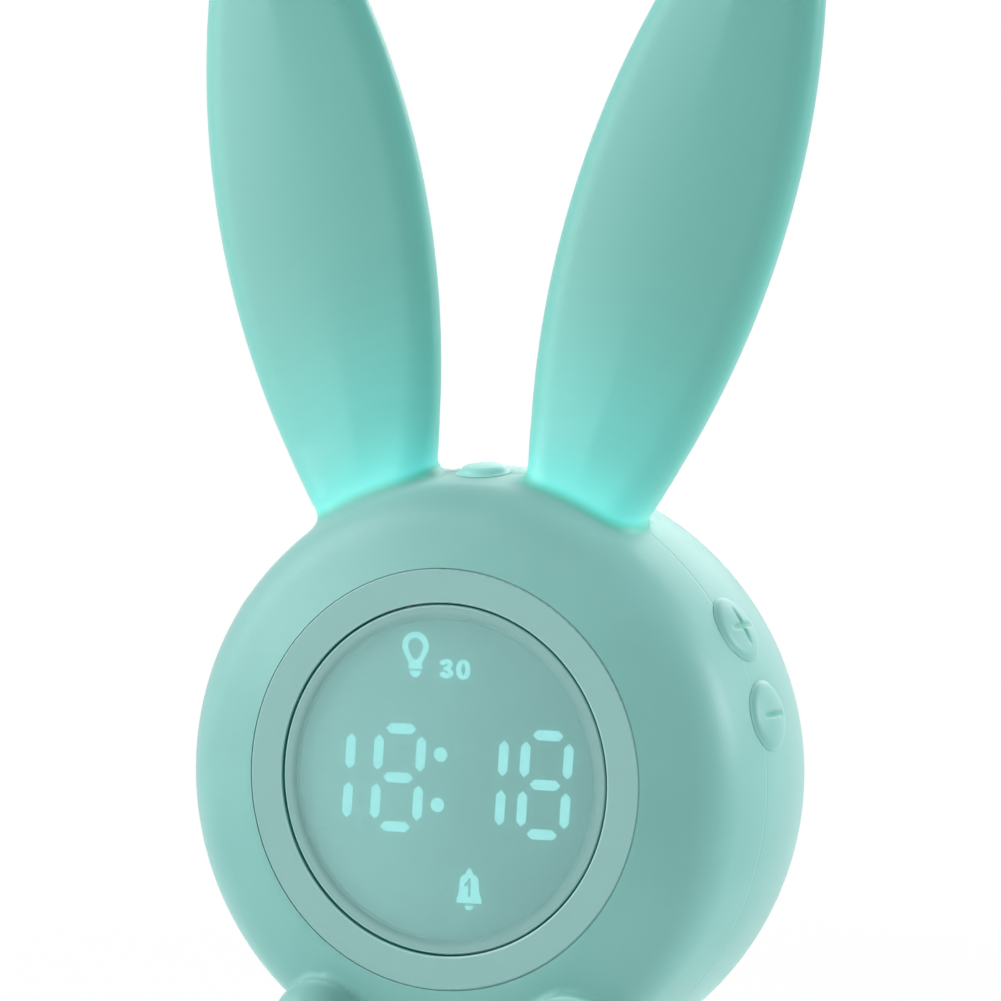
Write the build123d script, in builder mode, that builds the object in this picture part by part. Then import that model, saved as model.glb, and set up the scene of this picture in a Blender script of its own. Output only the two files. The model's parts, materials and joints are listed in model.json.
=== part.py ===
from build123d import *
from math import cos, pi, radians, sin, sqrt, tan
import os

os.makedirs("parts", exist_ok=True)

# A silicone-covered ball clock with two long ears, which also serves as a night light.
# The clock rests on z = 0 with the ball's centre above the origin, its face looks along -Y, X is to its right.
# Millimetres and degrees. "Rise" is a height above the ball's centre.

# Ball: a sphere with a flat face in front, a shallow crown round it, and a flat back.
ball_diameter = 93.2
ball_base_radius = 12.1
face_distance = 21.3
face_radius = 31.7
crown_radius = 131.0
front_rim_radius = 9.0
back_distance = 38.0
back_rim_radius = 6.0

# Walls and the clearances between the layers.
skin_wall = 2.0
skin_clearance = 0.15
shell_wall = 2.0
parting_y = -5.2
lip_depth = 1.2
lip_clearance = 0.05
joint_gap = 0.15

# Ears: a blade between two long arcs with a round tip, leaning out and back.
ear_spread_angle = 22.6
ear_forward_angle = 10.3
ear_sink = 0.9
ear_out_angle = 15.3
ear_back_angle = 7.3
ear_half_width = 17.1
ear_widest = 45.2
ear_side_radius = 137.0
ear_tip_radius = 5.0
ear_root = 10.0
ear_thickness = 10.0
ear_edge_radius = 4.2
ear_wall = 2.5
ear_guide_clearance = 0.2
ear_guide_length = 72.0
ear_guide_foot = 2.0

# Feet: two rounded toes that stand where the ball's underside is foot_underside above the ground.
foot_turn_angle = 46.3
foot_underside = 7.8
foot_width = 12.6
foot_length = 17.2
foot_height = 14.2
foot_crown_radius = 6.0
foot_sole_radius = 1.0

# Hollow fillets where the ears and the feet grow out of the ball.
ear_fillet = 2.0
foot_fillet = 1.0

# Face: a flat ring round a tinted lens.
face_rise = 0.5
ring_gap = 0.1
ring_thickness = 2.0
lens_radius = 26.2
lens_gap = 0.25
lens_thickness = 1.5
lens_recess = 0.15
ring_edge = 0.3
gasket_width = 0.8

# Digital display: a white housing with a well for each segment.
housing_thickness = 6.0
housing_clearance = 0.25
housing_fit = 0.1
housing_flange_width = 1.8
housing_flange_thickness = 1.2
housing_seat_gap = 0.1
digit_centres = (-19.65, -8.1, 5.35, 15.8)
lit_segments = ("bc", "abcdefg", "bc", "abcdefg")
digit_rise = -0.2
digit_half_width = 3.47
digit_half_height = 7.4
digit_slant = 3.4
segment_width = 1.55
segment_gap = 1.0
segment_depth = 2.5
segment_clearance = 0.03
colon_centre = -1.4
colon_rise = 3.8
colon_radius = 1.1
led_size = 0.9
led_height = 0.6

# Circuit boards.
board_thickness = 1.6
small_board_thickness = 1.2
main_board_margin = 9.25
spacer_radius = 2.5
spacer_edge = 4.55
connector_size = (20.3, 2.5)
connector_rise = -16.5
chips = (((0.0, 6.0), (10.0, 10.0)), ((-15.0, 8.0), (6.0, 5.0)), ((14.0, 2.0), (5.0, 5.0)))
chip_height = 1.2

# Buttons: the angle of each above the right-hand horizontal, and the caps' places and diameters.
button_angles = {
    "top_button": 90.0,
    "plus_button": 30.5,
    "minus_button": 13.5,
    "clock_button": 149.5,
    "alarm_button": 166.5,
}
side_button_y = -3.6
side_button_diameter = 11.4
top_button_y = -7.1
top_button_diameter = 8.8
button_proud = 1.2
button_edge = 1.2
button_travel = 0.8
button_gap = 0.25
sign_strokes = {"plus_button": (0.0, 90.0), "minus_button": (0.0,)}
sign_length = 6.3
sign_width = 1.0
sign_depth = 0.45
plunger_radius = 3.0
plunger_gap = 0.4
switch_size = 6.0
switch_depth = 3.6
switch_overlap = 3.8
stem_radius = 1.7
stem_gap = 0.1
stem_out = 1.5
stem_in = 1.6

# Screws that clamp the shells and the main board, by angle above the horizontal.
shell_screw_angles = (45.0, 135.0, -62.0, -118.0)
shell_screw_edge = 2.2
boss_radius = 3.3
screw_radius = 1.1
screw_hole_radius = 1.35
screw_pilot_radius = 1.12
screw_length = 10.0
screw_head_radius = 2.1
screw_head_height = 1.4
screw_slot = (2.2, 0.5, 0.6)
head_hole_radius = 2.5
column_floor = 3.0

# Back cover with the speaker and the charging board behind it.
cover_radius = 23.6
cover_gap = 0.3
cover_seat_gap = 0.1
back_opening_radius = 18.0
cover_screw_edge = 2.9
cover_screw_angles = (90.0, 210.0, 330.0)
cover_screw_length = 6.0
cover_head_height = 1.0
cover_recess = 1.1
cover_edge = 0.6
cover_boss_radius = 2.4
cover_boss_depth = 7.0
speaker_rise = 5.0
speaker_radius = 12.0
speaker_depth = 5.5
speaker_rim = 1.2
cone_depth = 3.0
cone_gap = 0.05
coil_radius = 3.0
paper_thickness = 0.4
magnet_radius = 7.0
magnet_depth = 4.0
grille_hole_radius = 0.9
grille_ring_radii = (3.4, 6.8)
grille_pitch = 3.56
usb_rise = -12.0
usb_width = 8.9
usb_height = 3.2
usb_depth = 7.3
usb_inset = 0.6
usb_gap = 0.25
usb_wall = 0.35
usb_tongue = (6.2, 0.7)
charging_board_left = -7.0
charging_board_right = 9.2
charging_board_depth = 12.0
charging_board_gap = 0.1
charging_rails_at = (-5.0, 5.0)
charging_rail_height = 1.6
charging_rail_width = 2.0
reset_size = (3.2, 2.6, 1.8)
reset_x = 7.2
reset_hole_radius = 0.6

# Rechargeable cell in its tray behind the main board.
cell_size = (40.0, 9.0, 28.0)
cell_edge = 1.5
cell_gap = 0.25
tray_wall = 1.2
tray_column_gap = 1.6

# Night-light lamps at the edge of the main board, by angle above the horizontal.
lamp_angles = (60.0, 70.0, 110.0, 120.0, -20.0, -40.0, -140.0, -160.0)
lamp_size = (3.2, 1.6, 2.0)
lamp_inset = 0.3


def around(radius, angles):
    """The places at these angles on a circle about the ball's axis, each as (x, rise)."""
    return [(radius * cos(radians(angle)), radius * sin(radians(angle))) for angle in angles]


# Places worked out from the sizes above.
ball_radius = ball_diameter / 2
ball_centre_height = sqrt(ball_radius**2 - ball_base_radius**2)
ball_centre = Vector(0, 0, ball_centre_height)
shell_inset = skin_wall + skin_clearance
inner_inset = shell_inset + shell_wall
ball_axis = Axis(ball_centre, (0, 1, 0))
foot_distance = sqrt(ball_radius**2 - (ball_centre_height - foot_underside) ** 2)
foot_centre = (foot_distance * sin(radians(foot_turn_angle)), -foot_distance * cos(radians(foot_turn_angle)))
ear_distance = ball_radius - ear_sink
ear_base = ball_centre + Vector(
    ear_distance * cos(radians(ear_forward_angle)) * sin(radians(ear_spread_angle)),
    -ear_distance * sin(radians(ear_forward_angle)),
    ear_distance * cos(radians(ear_forward_angle)) * cos(radians(ear_spread_angle)),
)

crown_centre = Vector(0, sqrt(crown_radius**2 - face_radius**2) - face_distance)
front_rim_y = (
    crown_centre.Y**2 + (ball_radius - front_rim_radius) ** 2 - (crown_radius - front_rim_radius) ** 2
) / (2 * crown_centre.Y)
front_rim = Vector(sqrt((ball_radius - front_rim_radius) ** 2 - front_rim_y**2), front_rim_y)
back_rim_y = back_distance - back_rim_radius
back_rim = Vector(sqrt((ball_radius - back_rim_radius) ** 2 - back_rim_y**2), back_rim_y)

window_radius = lens_radius - gasket_width
housing_radius = window_radius - housing_fit
lens_front_y = lens_recess - face_distance
window_y = shell_inset - face_distance
lens_back_y = lens_front_y + lens_thickness
wall_back_y = inner_inset - face_distance
housing_flange_y = wall_back_y + housing_seat_gap
housing_front_y = lens_back_y + housing_clearance
housing_back_y = housing_front_y + housing_thickness
display_board_back_y = housing_back_y + small_board_thickness
main_board_y = side_button_y + switch_size / 2
main_board_back_y = main_board_y + board_thickness
main_board_radius = ball_radius - inner_inset - main_board_margin
shell_back_y = back_distance - shell_inset
cover_front_y = shell_back_y + cover_seat_gap
shell_screws_at = around(main_board_radius - shell_screw_edge, shell_screw_angles)
lowest_column_rise = min(rise for _, rise in shell_screws_at) + boss_radius
cell_rise = lowest_column_rise + tray_column_gap + tray_wall + cell_gap + cell_size[2] / 2
switch_inner = main_board_radius - switch_overlap
stem_tip = switch_inner + switch_depth + stem_out


def face_plane(y):
    """A plane parallel to the face, centred on the display, looking forward."""
    return Plane(origin=(0, y, ball_centre_height + face_rise), x_dir=(1, 0, 0), z_dir=(0, -1, 0))


def cross_plane(y):
    """A plane across the ball's own axis at y, looking forward."""
    return Plane(origin=(0, y, ball_centre_height), x_dir=(1, 0, 0), z_dir=(0, -1, 0))


def button_y(name):
    """How far behind or in front of the ball's centre the named button lies."""
    return top_button_y if name == "top_button" else side_button_y


def button_plane(name, distance):
    """A plane square to the named button's line of travel, looking outward."""
    angle = radians(button_angles[name])
    outward = Vector(cos(angle), 0, sin(angle))
    centre = Vector(0, button_y(name), ball_centre_height)
    return Plane(origin=centre + outward * distance, x_dir=(0, 1, 0), z_dir=outward)


def cap_radius(name):
    """The radius of the named button's cap."""
    return (top_button_diameter if name == "top_button" else side_button_diameter) / 2


def ball(inset):
    """The flattened ball, moved inward on every side by inset."""
    radius = ball_radius - inset
    face_y = inset - face_distance
    back_y = back_distance - inset
    crown_start = Vector(sqrt((crown_radius - inset) ** 2 - (crown_centre.Y - face_y) ** 2), face_y)
    crown_end = crown_centre + (front_rim - crown_centre).normalized() * (crown_radius - inset)
    crown_arm = crown_start - crown_centre
    with BuildPart() as form:
        with BuildSketch(Plane.XY.offset(ball_centre_height)):
            with BuildLine():
                Line((0, face_y), crown_start)
                crown = TangentArc(crown_start, crown_end, tangent=(-crown_arm.Y, crown_arm.X))
                rim = TangentArc(crown_end, front_rim.normalized() * radius, tangent=crown % 1)
                side = TangentArc(rim @ 1, back_rim.normalized() * radius, tangent=rim % 1)
                TangentArc(side @ 1, (back_rim.X, back_y), tangent=side % 1)
                Line((back_rim.X, back_y), (0, back_y))
                Line((0, back_y), (0, face_y))
            make_face()
        revolve(axis=ball_axis)
        split(bisect_by=Plane.XY.offset(inset), keep=Keep.TOP)
    return form.part


def ear(inset):
    """The right ear's blade, moved inward on every side by inset, with its root inside the ball."""
    out, back = radians(ear_out_angle), radians(ear_back_angle)
    blade_plane = Plane(
        origin=ear_base,
        x_dir=(cos(out), -sin(out) * sin(back), -sin(out) * cos(back)),
        z_dir=(0, -cos(back), sin(back)),
    )
    side_radius = ear_side_radius - inset
    side_centre = Vector(ear_half_width - ear_side_radius, ear_widest)
    tip_reach = sqrt((ear_side_radius - ear_tip_radius) ** 2 - side_centre.X**2)
    tip_centre = Vector(0, ear_widest + tip_reach)
    tip_start = side_centre + (tip_centre - side_centre).normalized() * side_radius
    root_half = side_centre.X + sqrt(side_radius**2 - (ear_widest + ear_root) ** 2)
    with BuildPart() as form:
        with BuildSketch(blade_plane):
            with BuildLine():
                Line((0, -ear_root), (root_half, -ear_root))
                flank = ThreePointArc((root_half, -ear_root), (ear_half_width - inset, ear_widest), tip_start)
                TangentArc(tip_start, tip_centre + Vector(0, ear_tip_radius - inset), tangent=flank % 1)
                mirror(about=Plane.YZ)
            make_face()
        extrude(amount=ear_thickness / 2 - inset, both=True)
        blade_faces = form.faces().filter_by(Axis(blade_plane.origin, blade_plane.z_dir))
        fillet(blade_faces.edges().filter_by(GeomType.CIRCLE), radius=ear_edge_radius - inset)
    return form.part


def joined(body, limb, hollow_radius):
    """The body with an ear or a foot moulded on and a hollow fillet where they meet."""
    with BuildPart() as form:
        add(body)
        add(limb)
        fillet(form.edges(Select.NEW), radius=hollow_radius)
    return form.part


def slab(y_front, y_back):
    """Everything between two planes across the ball's axis."""
    with BuildPart() as form:
        with BuildSketch(cross_plane(y_back)):
            Circle(2 * ball_radius)
        extrude(amount=y_back - y_front)
    return form.part


def posts(places, radius, y_front, y_back, bore):
    """Round posts along the ball's axis, trimmed to the middle of the shell's wall."""
    with BuildPart() as form:
        with BuildSketch(cross_plane(y_back)):
            with Locations(*places):
                Circle(radius)
        extrude(amount=y_back - y_front)
        add(wall_middle, mode=Mode.INTERSECT)
        if bore:
            with BuildSketch(cross_plane(y_back)):
                with Locations(*places):
                    Circle(bore)
            extrude(amount=y_back - y_front, mode=Mode.SUBTRACT)
    return form.part


def write(piece, name):
    """Name the piece and save it as its own file."""
    piece.label = name
    export_step(piece, f"parts/{name}.step")


skin_outside = ball(0)
skin_inside = ball(skin_wall)
shell_outside = ball(shell_inset)
wall_middle = ball(shell_inset + shell_wall / 2)
shell_inside = ball(inner_inset)
right_ear = ear(0)
right_ear_cavity = ear(ear_wall)
left_ear_cavity = mirror(right_ear_cavity, about=Plane.YZ)

# Toe of the right foot, a long pad with a domed top.
with BuildPart() as foot:
    with BuildSketch():
        with Locations(foot_centre):
            SlotOverall(foot_length, foot_width, rotation=90)
    extrude(amount=foot_height)
    fillet(foot.faces().sort_by(Axis.Z)[-1].edges(), radius=foot_crown_radius)
    fillet(foot.faces().sort_by(Axis.Z)[0].edges(), radius=foot_sole_radius)

# Soft cover over the whole clock, with hollow ears, toes and an opening for each button.
moulded_outside = skin_outside
for limb, hollow_radius in ((right_ear, ear_fillet), (foot.part, foot_fillet)):
    moulded_outside = joined(moulded_outside, limb, hollow_radius)
    moulded_outside = joined(moulded_outside, mirror(limb, about=Plane.YZ), hollow_radius)
with BuildPart() as silicone_skin:
    add(moulded_outside)
    add(skin_inside, mode=Mode.SUBTRACT)
    add(right_ear_cavity, mode=Mode.SUBTRACT)
    add(left_ear_cavity, mode=Mode.SUBTRACT)
    with BuildSketch(face_plane(0)):
        Circle(face_radius)
    extrude(amount=2 * ball_radius, mode=Mode.SUBTRACT)
    with BuildSketch(cross_plane(2 * ball_radius)):
        Circle(cover_radius + cover_gap)
    extrude(amount=2 * ball_radius, mode=Mode.SUBTRACT)
    for name in button_angles:
        with BuildSketch(button_plane(name, ball_radius - 2 * shell_inset)):
            Circle(cap_radius(name) + button_gap)
        extrude(amount=4 * shell_inset, mode=Mode.SUBTRACT)
write(silicone_skin.part, "silicone_skin")

# Lip round the front shell's rim, half the wall thick, which centres the rear shell.
with BuildPart() as lip:
    add(ball(shell_inset + shell_wall / 2 + lip_clearance))
    add(shell_inside, mode=Mode.SUBTRACT)
    add(slab(parting_y - lip_depth, parting_y + lip_depth), mode=Mode.INTERSECT)

# Front half of the rigid inner shell, with the display window and the screw bosses.
with BuildPart() as front_shell:
    add(shell_outside)
    add(shell_inside, mode=Mode.SUBTRACT)
    add(slab(-2 * ball_radius, parting_y), mode=Mode.INTERSECT)
    add(lip.part)
    add(posts(shell_screws_at, boss_radius, -face_distance, main_board_y, screw_pilot_radius))
    with BuildSketch(face_plane(0)):
        Circle(window_radius)
    extrude(amount=2 * ball_radius, mode=Mode.SUBTRACT)
    for name in button_angles:
        with BuildSketch(button_plane(name, stem_tip)):
            Circle(plunger_radius + plunger_gap)
        extrude(amount=ball_radius - stem_tip, mode=Mode.SUBTRACT)
    add(right_ear_cavity, mode=Mode.SUBTRACT)
    add(left_ear_cavity, mode=Mode.SUBTRACT)
write(front_shell.part, "front_shell")

# Rear half of the inner shell, with deep columns for the screws and a seat for the back cover.
column_end_y = main_board_back_y
cover_screws_at = around(cover_radius - cover_screw_edge, cover_screw_angles)
with BuildPart() as lip_rebate:
    add(ball(shell_inset + shell_wall / 2 - lip_clearance))
    add(slab(parting_y - lip_depth, parting_y + lip_depth + joint_gap), mode=Mode.INTERSECT)
with BuildPart() as rear_shell:
    add(shell_outside)
    add(shell_inside, mode=Mode.SUBTRACT)
    add(slab(parting_y, 2 * ball_radius), mode=Mode.INTERSECT)
    add(lip_rebate.part, mode=Mode.SUBTRACT)
    add(posts(shell_screws_at, boss_radius, column_end_y, back_distance, screw_hole_radius))
    add(posts(cover_screws_at, cover_boss_radius, shell_back_y - cover_boss_depth, back_distance, 0))
    with BuildSketch(cross_plane(column_end_y + column_floor)):
        with Locations(*shell_screws_at):
            Circle(head_hole_radius)
    extrude(amount=-2 * ball_radius, mode=Mode.SUBTRACT)
    with BuildSketch(cross_plane(shell_back_y - cover_screw_length)):
        with Locations(*cover_screws_at):
            Circle(screw_pilot_radius)
    extrude(amount=-2 * ball_radius, mode=Mode.SUBTRACT)
    with BuildSketch(cross_plane(back_distance / 2)):
        Circle(back_opening_radius)
    extrude(amount=-2 * ball_radius, mode=Mode.SUBTRACT)
    for name in button_angles:
        with BuildSketch(button_plane(name, stem_tip)):
            Circle(plunger_radius + plunger_gap)
        extrude(amount=ball_radius - stem_tip, mode=Mode.SUBTRACT)
    add(right_ear_cavity, mode=Mode.SUBTRACT)
    add(left_ear_cavity, mode=Mode.SUBTRACT)
write(rear_shell.part, "rear_shell")

# Light guide that stands in each ear, with a wider foot behind the shell's wall.
right_guide_blade = ear(ear_wall + ear_guide_clearance)
right_guide_foot = ear(ear_guide_clearance)
foot_outside = ball(inner_inset + ear_guide_clearance)
foot_inside = ball(inner_inset + ear_guide_clearance + ear_guide_foot)
guide_top = Plane(origin=ear_base + Vector(0, 0, ear_guide_length))
with BuildPart() as guide_foot:
    add(right_guide_foot)
    add(foot_outside, mode=Mode.INTERSECT)
with BuildPart() as right_ear_light_guide:
    add(right_guide_blade)
    split(bisect_by=guide_top, keep=Keep.BOTTOM)
    add(guide_foot.part)
    add(foot_inside, mode=Mode.SUBTRACT)
write(right_ear_light_guide.part, "right_ear_light_guide")
left_ear_light_guide = mirror(right_ear_light_guide.part, about=Plane.YZ)
write(left_ear_light_guide, "left_ear_light_guide")

# Flat ring that frames the display, seated on the front shell.
with BuildPart() as bezel_ring:
    with BuildSketch(face_plane(-face_distance + ring_thickness)):
        Circle(face_radius - ring_gap)
        Circle(lens_radius + lens_gap, mode=Mode.SUBTRACT)
    extrude(amount=ring_thickness)
    fillet(bezel_ring.faces().sort_by(Axis.Y)[0].edges(), radius=ring_edge)
write(bezel_ring.part, "bezel_ring")

# Tinted lens and the soft gasket that it is bedded on.
with BuildPart() as display_lens:
    with BuildSketch(face_plane(lens_back_y)):
        Circle(lens_radius)
    extrude(amount=lens_thickness)
    chamfer(display_lens.faces().sort_by(Axis.Y)[0].edges(), length=ring_edge)
write(display_lens.part, "display_lens")
with BuildPart() as lens_gasket:
    with BuildSketch(face_plane(window_y)):
        Circle(lens_radius)
        Circle(lens_radius - gasket_width, mode=Mode.SUBTRACT)
    extrude(amount=window_y - lens_back_y)
write(lens_gasket.part, "lens_gasket")


def segment_places():
    """Each segment of one digit as its letter, its centre and whether it lies flat."""
    half_pitch = digit_half_height / 2
    return (
        ("a", (0, digit_half_height), True),
        ("b", (digit_half_width, half_pitch), False),
        ("c", (digit_half_width, -half_pitch), False),
        ("d", (0, -digit_half_height), True),
        ("e", (-digit_half_width, -half_pitch), False),
        ("f", (-digit_half_width, half_pitch), False),
        ("g", (0, 0), True),
    )


def segment_centre(digit_centre, place):
    """A segment's centre on the face, moved sideways by the digits' slant."""
    return (digit_centre + place[0] + place[1] * tan(radians(digit_slant)), place[1] + digit_rise)


def segment_shapes(letters, grow=0.0):
    """The pointed outlines of the chosen segments of all digits, in the sketch that is open."""
    for digit_centre, lit in zip(digit_centres, letters):
        for letter, place, flat in segment_places():
            if letter not in lit:
                continue
            pitch = 2 * digit_half_width if flat else digit_half_height
            reach = pitch / 2 - segment_gap + grow
            half = segment_width / 2 + grow
            turn = 0 if flat else 90 - digit_slant
            with Locations(Location(segment_centre(digit_centre, place), turn)):
                Polygon(
                    (-reach, 0), (half - reach, half), (reach - half, half),
                    (reach, 0), (reach - half, -half), (half - reach, -half), align=None,
                )


def colon_shapes(grow=0.0):
    """The two dots between the hours and the minutes."""
    slope = tan(radians(digit_slant))
    with Locations(
        (colon_centre + colon_rise * slope, digit_rise + colon_rise),
        (colon_centre - colon_rise * slope, digit_rise - colon_rise),
    ):
        Circle(colon_radius + grow)


every_letter = ("abcdefg",) * len(digit_centres)
blank_letters = ["".join(sorted(set("abcdefg") - set(lit))) for lit in lit_segments]

# White housing with a well for each segment, the colon and the two rows of signs.
with BuildPart() as display_housing:
    with BuildSketch(face_plane(housing_back_y)):
        Circle(housing_radius)
    extrude(amount=housing_thickness)
    with BuildSketch(face_plane(housing_flange_y + housing_flange_thickness)):
        Circle(window_radius + housing_flange_width)
    extrude(amount=housing_flange_thickness)
    with BuildSketch(face_plane(housing_back_y)):
        segment_shapes(every_letter)
        colon_shapes()
    extrude(amount=housing_thickness, mode=Mode.SUBTRACT)
write(display_housing.part, "display_housing")

# Diffusing fillings of the wells: those of the time that is shown, and the others.
with BuildPart() as digit_segments:
    with BuildSketch(face_plane(housing_front_y + segment_depth)):
        segment_shapes(lit_segments, grow=-segment_clearance)
        colon_shapes(grow=-segment_clearance)
    extrude(amount=segment_depth)
write(digit_segments.part, "digit_segments")
with BuildPart() as blank_segments:
    with BuildSketch(face_plane(housing_front_y + segment_depth)):
        segment_shapes(blank_letters, grow=-segment_clearance)
    extrude(amount=segment_depth)
write(blank_segments.part, "blank_segments")

# Display board with a lamp chip under each segment.
with BuildPart() as display_board:
    with BuildSketch(face_plane(display_board_back_y)):
        Circle(housing_radius)
    extrude(amount=small_board_thickness)
write(display_board.part, "display_board")
with BuildPart() as display_chips:
    with BuildSketch(face_plane(housing_back_y)):
        for digit_centre in digit_centres:
            for letter, place, flat in segment_places():
                with Locations(segment_centre(digit_centre, place)):
                    Rectangle(led_size, led_size)
    extrude(amount=led_height)
write(display_chips.part, "display_chips")

# Nylon spacers and the pin block between the two boards.
with BuildPart() as board_spacers:
    with BuildSketch(cross_plane(main_board_y)):
        with PolarLocations(housing_radius - spacer_edge, 3, start_angle=90):
            RegularPolygon(spacer_radius, 6)
    extrude(amount=main_board_y - display_board_back_y)
write(board_spacers.part, "board_spacers")
with BuildPart() as board_connector:
    with BuildSketch(cross_plane(main_board_y)):
        with Locations((0, connector_rise)):
            Rectangle(*connector_size)
    extrude(amount=main_board_y - display_board_back_y)
write(board_connector.part, "board_connector")

# Main board with its screw holes, and the chips on its front.
with BuildPart() as main_board:
    with BuildSketch(cross_plane(main_board_back_y)):
        Circle(main_board_radius)
        with Locations(*shell_screws_at):
            Circle(screw_hole_radius, mode=Mode.SUBTRACT)
    extrude(amount=board_thickness)
write(main_board.part, "main_board")
with BuildPart() as control_chips:
    with BuildSketch(cross_plane(main_board_y)):
        for centre, size in chips:
            with Locations(centre):
                Rectangle(*size)
    extrude(amount=chip_height)
write(control_chips.part, "control_chips")

# Side-facing lamps at the board's edge, four under the ears and four for the ball.
with BuildPart() as night_light_lamps:
    for angle in lamp_angles:
        with BuildSketch(cross_plane(main_board_y)):
            with PolarLocations(main_board_radius - lamp_inset - lamp_size[1] / 2, 1, start_angle=angle):
                Rectangle(lamp_size[1], lamp_size[0])
        extrude(amount=lamp_size[2])
write(night_light_lamps.part, "night_light_lamps")

# Side-push switches that stand on the main board, with a bore for each stem.
with BuildPart() as switch_bodies:
    for name in button_angles:
        with BuildSketch(button_plane(name, switch_inner)):
            with Locations((-switch_size / 2, 0)):
                Rectangle(
                    switch_size / 2 + main_board_y - button_y(name),
                    switch_size,
                    align=(Align.MIN, Align.CENTER),
                )
        extrude(amount=switch_depth)
        with BuildSketch(button_plane(name, switch_inner + switch_depth - stem_in - button_travel)):
            Circle(stem_radius + stem_gap)
        extrude(amount=stem_in + button_travel, mode=Mode.SUBTRACT)
write(switch_bodies.part, "switch_bodies")

# Zone between two spheres from which each button's domed head is cut.
head_inner_radius = ball_radius - shell_inset + button_travel + button_gap
with BuildPart() as head_zone:
    with Locations(ball_centre):
        Sphere(ball_radius + button_proud)
        Sphere(head_inner_radius, mode=Mode.SUBTRACT)

# Button caps with their sunk signs and plungers, and the switch stems that they rest on.
for name in button_angles:
    with BuildPart() as head:
        with BuildSketch(button_plane(name, stem_tip)):
            Circle(cap_radius(name))
        extrude(amount=ball_radius)
        add(head_zone.part, mode=Mode.INTERSECT)
        travel_line = Axis(button_plane(name, 0).origin, button_plane(name, 0).z_dir)
        dome = head.faces().filter_by(GeomType.SPHERE).sort_by(travel_line)[-1]
        fillet(dome.edges(), radius=button_edge)
    with BuildPart() as sign:
        for turn in sign_strokes.get(name, ()):
            with BuildSketch(button_plane(name, stem_tip)):
                SlotOverall(sign_length, sign_width, rotation=turn)
            extrude(amount=ball_radius)
            with Locations(ball_centre):
                Sphere(ball_radius + button_proud - sign_depth, mode=Mode.SUBTRACT)
    with BuildPart() as button:
        with BuildSketch(button_plane(name, stem_tip)):
            Circle(plunger_radius)
        extrude(amount=head_inner_radius + button_proud / 2 - stem_tip)
        add(head.part)
        if name in sign_strokes:
            add(sign.part, mode=Mode.SUBTRACT)
    write(button.part, name)
    with BuildPart() as stem:
        with BuildSketch(button_plane(name, switch_inner + switch_depth - stem_in)):
            Circle(stem_radius)
        extrude(amount=stem_in + stem_out)
    write(stem.part, name.replace("button", "switch_stem"))

# Lithium cell and the tray that holds it behind the main board.
cell_front_y = main_board_back_y + cell_gap
with BuildPart() as battery_cell:
    with Locations((0, cell_front_y + cell_size[1] / 2, ball_centre_height + cell_rise)):
        Box(*cell_size)
    fillet(battery_cell.edges().filter_by(Axis.X), radius=cell_edge)
write(battery_cell.part, "battery_cell")
with BuildPart() as battery_tray:
    tray_depth = cell_gap + cell_size[1] + cell_gap + tray_wall
    with Locations((0, main_board_back_y + tray_depth / 2, ball_centre_height + cell_rise)):
        Box(
            cell_size[0] + 2 * (cell_gap + tray_wall),
            tray_depth,
            cell_size[2] + 2 * (cell_gap + tray_wall),
        )
    with Locations((0, main_board_back_y + (tray_depth - tray_wall) / 2, ball_centre_height + cell_rise)):
        Box(
            cell_size[0] + 2 * cell_gap,
            tray_depth - tray_wall,
            cell_size[2] + 2 * cell_gap,
            mode=Mode.SUBTRACT,
        )
write(battery_tray.part, "battery_tray")

# Back cover with the speaker's grille, the charging socket's mouth, the reset pinhole and rails for its board.
socket_base_rise = usb_rise - usb_height / 2
board_back_y = cover_front_y - charging_board_gap
with BuildPart() as rear_cover:
    with BuildSketch(cross_plane(back_distance)):
        Circle(cover_radius)
    extrude(amount=back_distance - cover_front_y)
    fillet(rear_cover.faces().sort_by(Axis.Y)[-1].edges(), radius=cover_edge)
    with BuildSketch(cross_plane(cover_front_y)):
        with Locations(*[(x, socket_base_rise - small_board_thickness) for x in charging_rails_at]):
            Rectangle(charging_rail_width, charging_rail_height, align=(Align.CENTER, Align.MAX))
    extrude(amount=charging_board_depth)
    with BuildSketch(cross_plane(back_distance)):
        with Locations((0, usb_rise)):
            SlotOverall(usb_width + 2 * usb_gap, usb_height + 2 * usb_gap)
        with Locations((reset_x, socket_base_rise + reset_size[2] / 2)):
            Circle(reset_hole_radius)
        with Locations(*cover_screws_at):
            Circle(screw_hole_radius)
        with Locations((0, speaker_rise)):
            Circle(grille_hole_radius)
            for ring_radius in grille_ring_radii:
                with PolarLocations(ring_radius, round(2 * pi * ring_radius / grille_pitch)):
                    Circle(grille_hole_radius)
    extrude(amount=back_distance - cover_front_y, mode=Mode.SUBTRACT)
    with BuildSketch(cross_plane(back_distance)):
        with Locations(*cover_screws_at):
            Circle(head_hole_radius)
    extrude(amount=cover_recess, mode=Mode.SUBTRACT)
write(rear_cover.part, "rear_cover")


def speaker_plane():
    """Half-section of the speaker: x is its radius and y its depth in front of the cover."""
    origin = (0, cover_front_y, ball_centre_height + speaker_rise)
    return Plane(origin=origin, x_dir=(1, 0, 0), z_dir=(0, 0, -1))


speaker_axis = Axis(speaker_plane().origin, (0, 1, 0))
cone_rim_radius = speaker_radius - 2 * speaker_rim

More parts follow.
